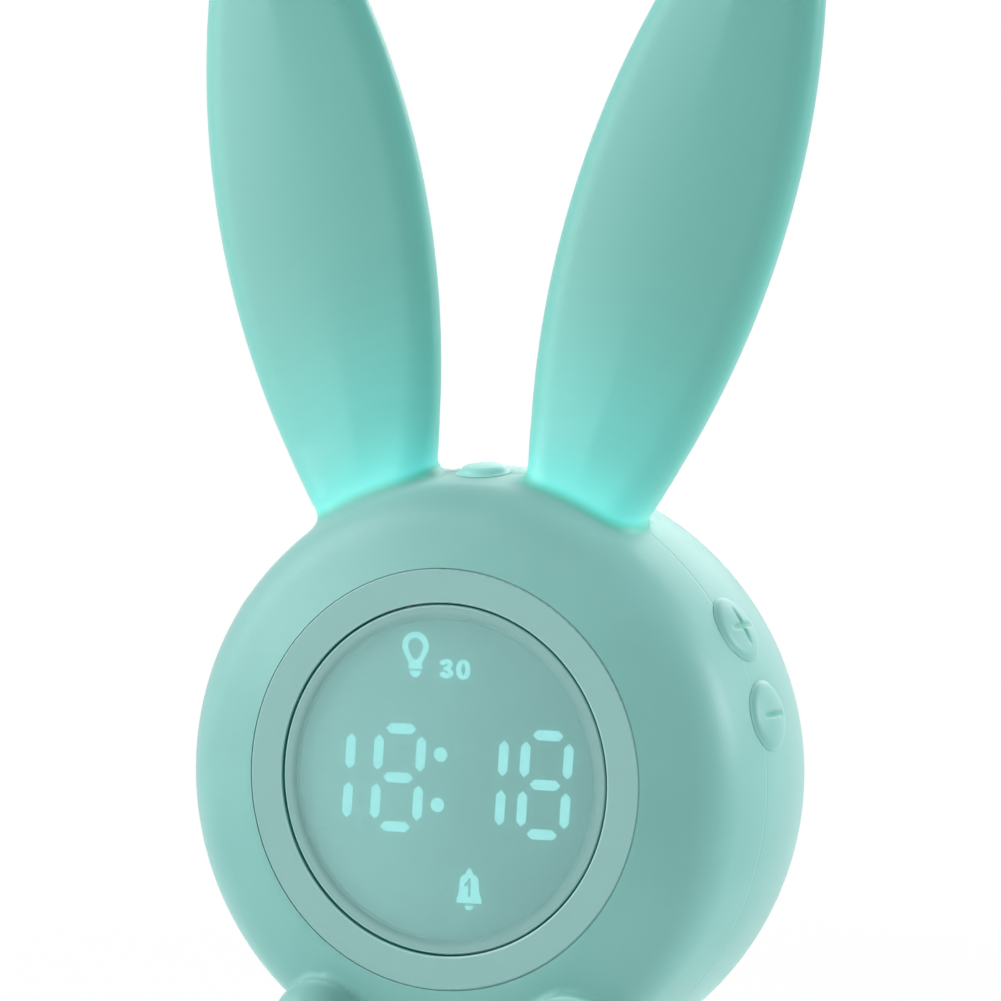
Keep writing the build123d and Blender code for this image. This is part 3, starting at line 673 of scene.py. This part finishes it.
ear = {
    "spread": 22.6,
    "forward": 10.3,
    "sink": 0.9,
    "outAngle": 15.3,
    "backAngle": 7.3,
    "halfWidth": 17.1,
    "widest": 45.2,
    "sideRadius": 137,
    "sideSteps": 90,
    "tipRadius": 5,
    "tipSteps": 24,
    "root": 10,
    "thickness": 10,
    "edgeRadius": 4.2,
    "edgeSegments": 10,
    "crown": 0.4,
    "slack": {"side": 0.1, "face": 0.2},
    "rimPower": 8,
}
toe = {
    "x": 20.29,
    "y": -19.39,
    "width": 12.6,
    "length": 17.2,
    "endSteps": 40,
    "height": 14.2,
    "crown": 6.0,
    "crownSegments": 12,
    "sole": 1,
    "soleSegments": 4,
}
skin = {
    "voxel": 0.72,
    "searchReach": 8,
    "hollow": {"ear": 2.6, "toe": 0.9},
    "smoothings": {"ear": 26, "toe": 5},
    "faceOpening": 31.66,
    "lipDepth": 2,
    "rearOpening": 23.9,
    "openingSegments": 288,
    "overshoot": 10,
    "squareTo": 0.999,  # of a normal's length along the depth, for a floor of an opening
    "spinSteps": 300,
}


def ballShape():
    # an outline from the middle of the face to the middle of the back, spun round and cut flat at the base
    radius = ball["radius"]
    crownCentre = Vector((0, sqrt(ball["crownRadius"] ** 2 - ball["faceRadius"] ** 2) + ball["faceY"], 0))
    frontY = (crownCentre.y ** 2 + (radius - ball["frontRimRadius"]) ** 2
              - (ball["crownRadius"] - ball["frontRimRadius"]) ** 2) / (2 * crownCentre.y)
    frontRim = Vector((sqrt((radius - ball["frontRimRadius"]) ** 2 - frontY ** 2), frontY, 0))
    backY = ball["backY"] - ball["backRimRadius"]
    backRim = Vector((sqrt((radius - ball["backRimRadius"]) ** 2 - backY ** 2), backY, 0))
    start = Vector((ball["faceRadius"], ball["faceY"], 0))
    angles = [turned(way) for way in (start - crownCentre, frontRim - crownCentre, frontRim, backRim, depth)]
    centres = (crownCentre, frontRim, origin, backRim)
    bm = bmesh.new()
    vert = lineTo(bm, bm.verts.new((0, ball["faceY"], 0)), start)
    for centre, steps, low, high in zip(centres, ball["steps"], angles, angles[1:]):
        vert = arcTo(bm, vert, centre, high - low, steps)
    lineTo(bm, vert, (0, ball["backY"], 0))
    revolve(bm, depth, skin["spinSteps"])
    bmesh.ops.translate(bm, vec=ball["centre"], verts=bm.verts)
    geom = bm.verts[:] + bm.edges[:] + bm.faces[:]
    cut = bmesh.ops.bisect_plane(bm, geom=geom, plane_co=origin, plane_no=upright, clear_inner=True)
    rim = [item for item in cut["geom_cut"] if isinstance(item, bmesh.types.BMEdge)]
    bmesh.ops.edgeloop_fill(bm, edges=rim)
    bmesh.ops.recalc_face_normals(bm, faces=bm.faces)
    return bm


def earPlane():
    spread, forward, out, back = (radians(ear[k]) for k in ("spread", "forward", "outAngle", "backAngle"))
    reach = ball["radius"] - ear["sink"]
    base = Vector((cos(forward) * sin(spread), -sin(forward), cos(forward) * cos(spread))) * reach
    sideways = Vector((cos(out), -sin(out) * sin(back), -sin(out) * cos(back)))
    facing = Vector((0, -cos(back), sin(back)))
    turn = Matrix((sideways, facing.cross(sideways), facing)).transposed().to_4x4()
    return Matrix.Translation(ball["centre"] + base) @ turn


def earShape():
    # a blade between two side arcs and a round tip, drawn in its own plane and then set on the ball
    side = Vector((ear["halfWidth"] - ear["sideRadius"], ear["widest"], 0))
    tipReach = sqrt((ear["sideRadius"] - ear["tipRadius"]) ** 2 - side.x ** 2)
    tip = Vector((0, ear["widest"] + tipReach, 0))
    rootHalf = side.x + sqrt(ear["sideRadius"] ** 2 - (ear["widest"] + ear["root"]) ** 2)
    root = Vector((rootHalf, -ear["root"], 0))
    low, high = turned(root - side), turned(tip - side)
    bm = bmesh.new()
    start = bm.verts.new(root)
    vert = arcTo(bm, start, side, high - low, ear["sideSteps"])
    vert = arcTo(bm, vert, tip, 180 - 2 * high, ear["tipSteps"])
    vert = arcTo(bm, vert, Vector((-side.x, side.y, 0)), high - low, ear["sideSteps"])
    bm.edges.new((vert, start))
    thicken(bm, ear["thickness"])
    bmesh.ops.translate(bm, vec=upright * ear["thickness"] / -2, verts=bm.verts)
    roundOff(bm, [edge for edge in bm.edges if climb(edge) < flush], ear["edgeRadius"], ear["edgeSegments"])
    bmesh.ops.transform(bm, matrix=earPlane(), verts=bm.verts)
    return bm


def toeShape():
    # a short bar with round ends, domed on top and eased at its sole
    half = toe["width"] / 2
    reach = toe["length"] / 2 - half
    bm = bmesh.new()
    vert = bm.verts.new((half, -reach, 0))
    for end in (reach, -reach):
        vert = lineTo(bm, vert, (vert.co.x, end, 0))
        vert = arcTo(bm, vert, (0, end, 0), 180, toe["endSteps"])
    bmesh.ops.remove_doubles(bm, verts=bm.verts, dist=mergeWithin)
    thicken(bm, toe["height"])
    rims = (
        (toe["height"], toe["crown"], toe["crownSegments"]),
        (0, toe["sole"], toe["soleSegments"]),
    )
    for level, radius, segments in rims:
        rim = [edge for edge in bm.edges if all(abs(vert.co.z - level) < flush for vert in edge.verts)]
        roundOff(bm, rim, radius, segments)
    bmesh.ops.translate(bm, vec=(toe["x"], toe["y"], 0), verts=bm.verts)
    return bm


def mirrored(bm):
    other = bm.copy()
    bmesh.ops.scale(other, vec=(-1, 1, 1), verts=other.verts)
    bmesh.ops.reverse_faces(other, faces=other.faces)
    return other


def joinInto(bm, other):
    mesh = bpy.data.meshes.new("limb")
    other.to_mesh(mesh)
    other.free()
    bm.from_mesh(mesh)
    bpy.data.meshes.remove(mesh)


def roller(radius, y, length, rise):
    # a cylinder along the ball's axis, from y backwards
    bm = bmesh.new()
    bmesh.ops.create_cone(bm, cap_ends=True, segments=skin["openingSegments"], radius1=radius, radius2=radius,
                          depth=length)
    bmesh.ops.rotate(bm, cent=origin, matrix=quarterTurn, verts=bm.verts)
    bmesh.ops.translate(bm, vec=(0, y + length / 2, ball["centre"].z + rise), verts=bm.verts)
    return bm


def crownEars(bm):
    # thins both ears from their middle line out to their sides, and marks the thin rim, where the finish
    # paints a glow
    thin = bm.verts.layers.float["thin"]
    toEar = earPlane().inverted()
    sideCentre = Vector((ear["halfWidth"] - ear["sideRadius"], ear["widest"]))
    for vert in bm.verts:
        side = -1 if vert.co.x < 0 else 1
        place = toEar @ Vector((vert.co.x * side, vert.co.y, vert.co.z))
        inward = ear["sideRadius"] - (Vector((abs(place.x), place.y)) - sideCentre).length
        height = abs(place.z) - ear["thickness"] / 2
        if place.y < 0 or inward < -ear["slack"]["side"] or height > ear["slack"]["face"]:
            continue
        share = 1 - min(max(inward, 0) / ear["halfWidth"], 1)
        fade = min(place.y / ear["root"], 1)
        place.z *= 1 - ear["crown"] * share ** 2 * fade
        place = toEar.inverted() @ place
        vert.co = (place.x * side, place.y, place.z)
        vert[thin] = share ** ear["rimPower"]


def softenCreases(bm, trunk, limbs):
    # lays each vertex on the nearest form, marks painted shade in the creases round the toes, then rounds the
    # hollows where a limb meets the ball
    bm.verts.layers.float.new("thin")
    toeCreaseShade = bm.verts.layers.float.new("toeCreaseShade")
    hollows = {kind: [] for kind in skin["hollow"]}
    for vert in bm.verts:
        onTrunk = trunk.find_nearest(vert.co, skin["searchReach"])
        onLimbs = [(kind, limb.find_nearest(vert.co, skin["searchReach"])) for kind, limb in limbs]
        onLimbs = [found for found in onLimbs if found[1][0] is not None]
        if not onLimbs:
            vert.co = onTrunk[0]
            continue
        kind, onLimb = min(onLimbs, key=lambda found: found[1][3])
        near, far = onTrunk, onLimb
        if onTrunk[0] is None or onLimb[3] < onTrunk[3]:
            near, far = onLimb, onTrunk
        vert.co = near[0]
        if far[0] is not None and far[3] < skin["hollow"][kind]:
            hollows[kind].append(vert)
            # the nearer the ball, the more painted shade in the toe's crease
            if kind == "toe":
                vert[toeCreaseShade] = 1 - far[3] / skin["hollow"][kind]
    crownEars(bm)
    for kind, verts in hollows.items():
        soften(bm, verts, skin["smoothings"][kind])


def buildSkin():
    limbs = [("ear", earShape()), ("toe", toeShape())]
    limbs += [(kind, mirrored(limb)) for kind, limb in limbs]
    bm = ballShape()
    trunkTree = BVHTree.FromBMesh(bm)
    limbTrees = [(kind, BVHTree.FromBMesh(limb)) for kind, limb in limbs]
    for kind, limb in limbs:
        joinInto(bm, limb)
    bm = modified(bm, "REMESH", mode="VOXEL", voxel_size=skin["voxel"])
    print("skin remeshed,", len(bm.faces), "faces")
    softenCreases(bm, trunkTree, limbTrees)
    lip, over = skin["lipDepth"], skin["overshoot"]
    openings = roller(skin["faceOpening"], ball["faceY"] - over, over + lip, ball["faceRise"])
    joinInto(openings, roller(skin["rearOpening"], ball["backY"] - lip, over + lip, 0))
    bm = cutBy(bm, openings)
    floors = {-1: ball["faceY"] + lip, 1: ball["backY"] - lip}
    inside = []
    for face in bm.faces:
        facing = -1 if face.normal.y < 0 else 1
        level = face.calc_center_median().y
        if abs(face.normal.y) > skin["squareTo"] and abs(level - floors[facing]) < flush:
            inside.append(face)
    bmesh.ops.delete(bm, geom=inside, context="FACES")
    bmesh.ops.triangulate(bm, faces=[face for face in bm.faces if len(face.verts) > 4])
    piece = finish(bm, "siliconeSkin", "silicone")
    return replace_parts(piece, "silicone_skin")


skinPiece = buildSkin()
print("skin done,", len(skinPiece.data.polygons), "faces")


keys = {
    "angles": {"top": 90, "plus": 30.5, "minus": 13.5, "clock": 149.5, "alarm": 166.5},
    "radius": 5.7,
    "topRadius": 3.9,
    "sideY": -3.6,
    "topY": -7.1,
    "proud": 1.2,
    "dome": 15,
    "domeSteps": 14,
    "shoulder": 1.6,
    "shoulderShare": 0.9,  # of the shoulder that lies outside the dome
    "shoulderSteps": 12,
    "hollow": 0.8,
    "hollowSteps": 8,
    "sunkUnder": 0.03,
    "spinSteps": 120,
    "bars": {"plus": (0, 90), "minus": (0,)},
    "barLength": 6.3,
    "barWidth": 1.0,
    "barDepth": 0.45,
    "barRound": 0.45,  # of its width
    "barSegments": 5,
    "cutterHeight": 3,
    "markSlack": 0.1,
    "markStart": 0.4,
    "voxel": 0.15,
    "smoothings": 5,
    "smoothAngle": 60,
    "stillUnder": 0.05,
    "movingUnder": 0.2,
}


def keyShape(name):
    # a low dome about the upright axis, with a round shoulder and a hollow that runs out under the skin
    crest = upright * (ball["radius"] + keys["proud"])
    shoulder, hollow = keys["shoulder"], keys["hollow"]
    radius = keys["topRadius"] if name == "top" else keys["radius"]
    flat = radius - shoulder * keys["shoulderShare"]
    domeCentre = crest - upright * keys["dome"]
    domeTurn = asin(flat / keys["dome"])
    skinTurn = (radius + hollow) / ball["radius"]
    drop = keys["proud"] + keys["sunkUnder"] - flat ** 2 / 2 * (1 / keys["dome"] - 1 / ball["radius"])
    turn = acos(cos(domeTurn) - drop / (shoulder + hollow)) - domeTurn
    bm = bmesh.new()
    vert = arcTo(bm, bm.verts.new(crest), domeCentre, degrees(domeTurn), keys["domeSteps"], depth)
    shoulderCentre = vert.co + (domeCentre - vert.co).normalized() * shoulder
    vert = arcTo(bm, vert, shoulderCentre, degrees(turn), keys["shoulderSteps"], depth)
    hollowCentre = vert.co + (vert.co - shoulderCentre).normalized() * hollow
    vert = arcTo(bm, vert, hollowCentre, degrees(skinTurn - domeTurn - turn), keys["hollowSteps"], depth)
    lineTo(bm, vert, (0, 0, vert.co.z))
    revolve(bm, upright, keys["spinSteps"])
    bmesh.ops.recalc_face_normals(bm, faces=bm.faces)
    return bm


def barCutter(turn):
    # one bar with round ends, whose lower end is the floor of the sign
    bm = bmesh.new()
    bmesh.ops.create_cube(bm, size=1)
    bmesh.ops.scale(bm, vec=(keys["barLength"], keys["barWidth"], keys["cutterHeight"]), verts=bm.verts)
    corners = [edge for edge in bm.edges if climb(edge) > flush]
    roundOff(bm, corners, keys["barWidth"] * keys["barRound"], keys["barSegments"])
    bmesh.ops.rotate(bm, cent=origin, matrix=Matrix.Rotation(radians(turn), 3, "Z"), verts=bm.verts)
    floor = ball["radius"] + keys["proud"] - keys["barDepth"]
    bmesh.ops.translate(bm, vec=upright * (floor + keys["cutterHeight"] / 2), verts=bm.verts)
    bmesh.ops.recalc_face_normals(bm, faces=bm.faces)
    return bm


def markSunk(bm):
    # how far each vertex lies down in a sign, from 0 to 1, for the finish to paint shade by
    layer = bm.verts.layers.float.new("sunk")
    domeCentre = ball["radius"] + keys["proud"] - keys["dome"]
    for vert in bm.verts:
        out = vert.co.xy.length
        if out < keys["barLength"] / 2 + keys["markSlack"]:
            sunk = domeCentre + sqrt(keys["dome"] ** 2 - out ** 2) - vert.co.z
            share = sunk / keys["barDepth"] * (1 + keys["markStart"]) - keys["markStart"]
            vert[layer] = min(max(share, 0), 1)


def buildKey(name, angle):
    bm = keyShape(name)
    if name in keys["bars"]:
        for turn in keys["bars"][name]:
            bm = cutBy(bm, barCutter(turn))
        bm = modified(bm, "REMESH", mode="VOXEL", voxel_size=keys["voxel"])
        soften(bm, bm.verts, keys["smoothings"])
        markSunk(bm)
    y = keys["topY"] if name == "top" else keys["sideY"]
    reach = sqrt(ball["radius"] ** 2 - y ** 2)
    outward = Vector((cos(radians(angle)) * reach, y, sin(radians(angle)) * reach)).normalized()
    along = (depth - outward * depth.dot(outward)).normalized()
    facing = Matrix((along, outward.cross(along), outward)).transposed().to_4x4()
    bmesh.ops.transform(bm, matrix=Matrix.Translation(ball["centre"]) @ facing, verts=bm.verts)
    piece = finish(bm, name + "SoftKey", "silicone_button", body=None, smoothAngle=keys["smoothAngle"])
    stillReach = ball["radius"] - keys["stillUnder"]
    movingReach = ball["radius"] + keys["proud"] - keys["movingUnder"]
    still = (ball["centre"] + outward * stillReach) * mm
    moving = (ball["centre"] + outward * movingReach) * mm
    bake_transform(piece, "root", name + "_key", start=still, end=moving)
    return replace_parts(piece, name + "_button")


for keyName, keyAngle in keys["angles"].items():
    buildKey(keyName, keyAngle)
print("soft keys done")


# half outlines are given from the middle line to the right and mirrored; a third value of 1 is a sharp point
lampSign = {
    "middle": (-5.39, 0),
    "outer": [(0, 22.33), (1.5, 21.72), (2.13, 20.3), (1.95, 19.42), (1.4, 18.4), (1.0, 17.6),
              (0.94, 17.28, 1), (1.12, 17.28, 1), (1.12, 16.81, 1)],
    "inner": [(0, 21.41), (0.9, 21.05), (1.25, 20.3), (1.1, 19.5), (0.6, 18.5), (0, 18.14)],
    "base": [(0.94, 16.48, 1), (0.6, 15.8), (0, 15.5)],
}
bellSign = {
    "middle": (3.78, 0),
    "outer": [(0, -12.76), (0.38, -13.1), (0.55, -13.55), (1.25, -13.98), (1.52, -14.95), (1.58, -16.1),
              (1.74, -16.75), (2.0, -17.3, 1), (2.0, -17.95, 1)],
    "clapper": [(0.67, -18.38, 1), (0.42, -18.85), (0, -19.04)],
    "one": [(0.28, -14.15, 1), (0.28, -17.03, 1), (-0.22, -17.03, 1), (-0.22, -15.3, 1), (-0.85, -15.45, 1),
            (-0.9, -15.1, 1), (-0.3, -14.55), (-0.05, -14.15, 1)],
}
numberSign = {
    "three": [(-1.33, 17.75), (-0.4, 18.42), (0.68, 17.75), (0.3, 17.05), (0.78, 16.35), (-0.35, 15.58),
              (-1.36, 16.2), (-0.68, 16.5), (-0.3, 16.2), (0.0, 16.45), (-0.4, 16.75), (-0.7, 16.78, 1),
              (-0.7, 17.3, 1), (-0.35, 17.32), (-0.08, 17.58), (-0.35, 17.82), (-0.66, 17.6)],
    "middle": (2.43, 0),
    "outer": [(0, 18.42), (0.85, 18.0), (1.09, 17.0), (0.85, 15.95), (0, 15.5)],
    "inner": [(0, 17.87), (0.28, 17.55), (0.28, 16.4), (0, 16.08)],
}
signPlate = {"back": -19.39, "thickness": 0.2, "curveSteps": 8}


def shifted(outline, middle):
    return [(point[0] + middle[0], point[1] + middle[1], *point[2:]) for point in outline]


def whole(sign, *names):
    # the named half outlines, mirrored about the sign's upright middle line
    outlines = []
    for half in (sign[name] for name in names):
        other = [(-point[0], *point[1:]) for point in reversed(half) if point[0] > 0]
        outlines.append(shifted(half + other, sign["middle"]))
    return outlines


def buildSign(name, outlines):
    # a thin lit film on the display's front, cut to the outlines, with a hole where one lies in another
    curve = bpy.data.curves.new("film", "CURVE")
    curve.dimensions = "2D"
    curve.fill_mode = "BOTH"
    curve.extrude = signPlate["thickness"] / 2
    curve.resolution_u = signPlate["curveSteps"]
    for outline in outlines:
        spline = curve.splines.new("BEZIER")
        spline.bezier_points.add(len(outline) - 1)
        spline.use_cyclic_u = True
        for point, place in zip(spline.bezier_points, outline):
            point.co = (place[0], place[1], 0)
            kind = "VECTOR" if len(place) > 2 else "AUTO"
            point.handle_left_type = point.handle_right_type = kind
    film = bpy.data.objects.new("film", curve)
    bpy.context.scene.collection.objects.link(film)
    mesh = bpy.data.meshes.new_from_object(film.evaluated_get(bpy.context.evaluated_depsgraph_get()))
    bpy.data.objects.remove(film)
    bm = bmesh.new()
    bm.from_mesh(mesh)
    bpy.data.meshes.remove(mesh)
    bmesh.ops.remove_doubles(bm, verts=bm.verts, dist=mergeWithin)
    bmesh.ops.recalc_face_normals(bm, faces=bm.faces)
    bmesh.ops.rotate(bm, cent=origin, matrix=quarterTurn, verts=bm.verts)
    y = signPlate["back"] - signPlate["thickness"] / 2
    bmesh.ops.translate(bm, vec=(0, y, ball["centre"].z), verts=bm.verts)
    return finish(bm, name, "lit_segment")


buildSign("nightLampSign", whole(lampSign, "outer", "inner", "base"))
bellOne = shifted(bellSign["one"], bellSign["middle"])
buildSign("bellSign", whole(bellSign, "outer", "clapper") + [bellOne])
buildSign("minutesSign", [numberSign["three"]] + whole(numberSign, "outer", "inner"))
print("display signs done")
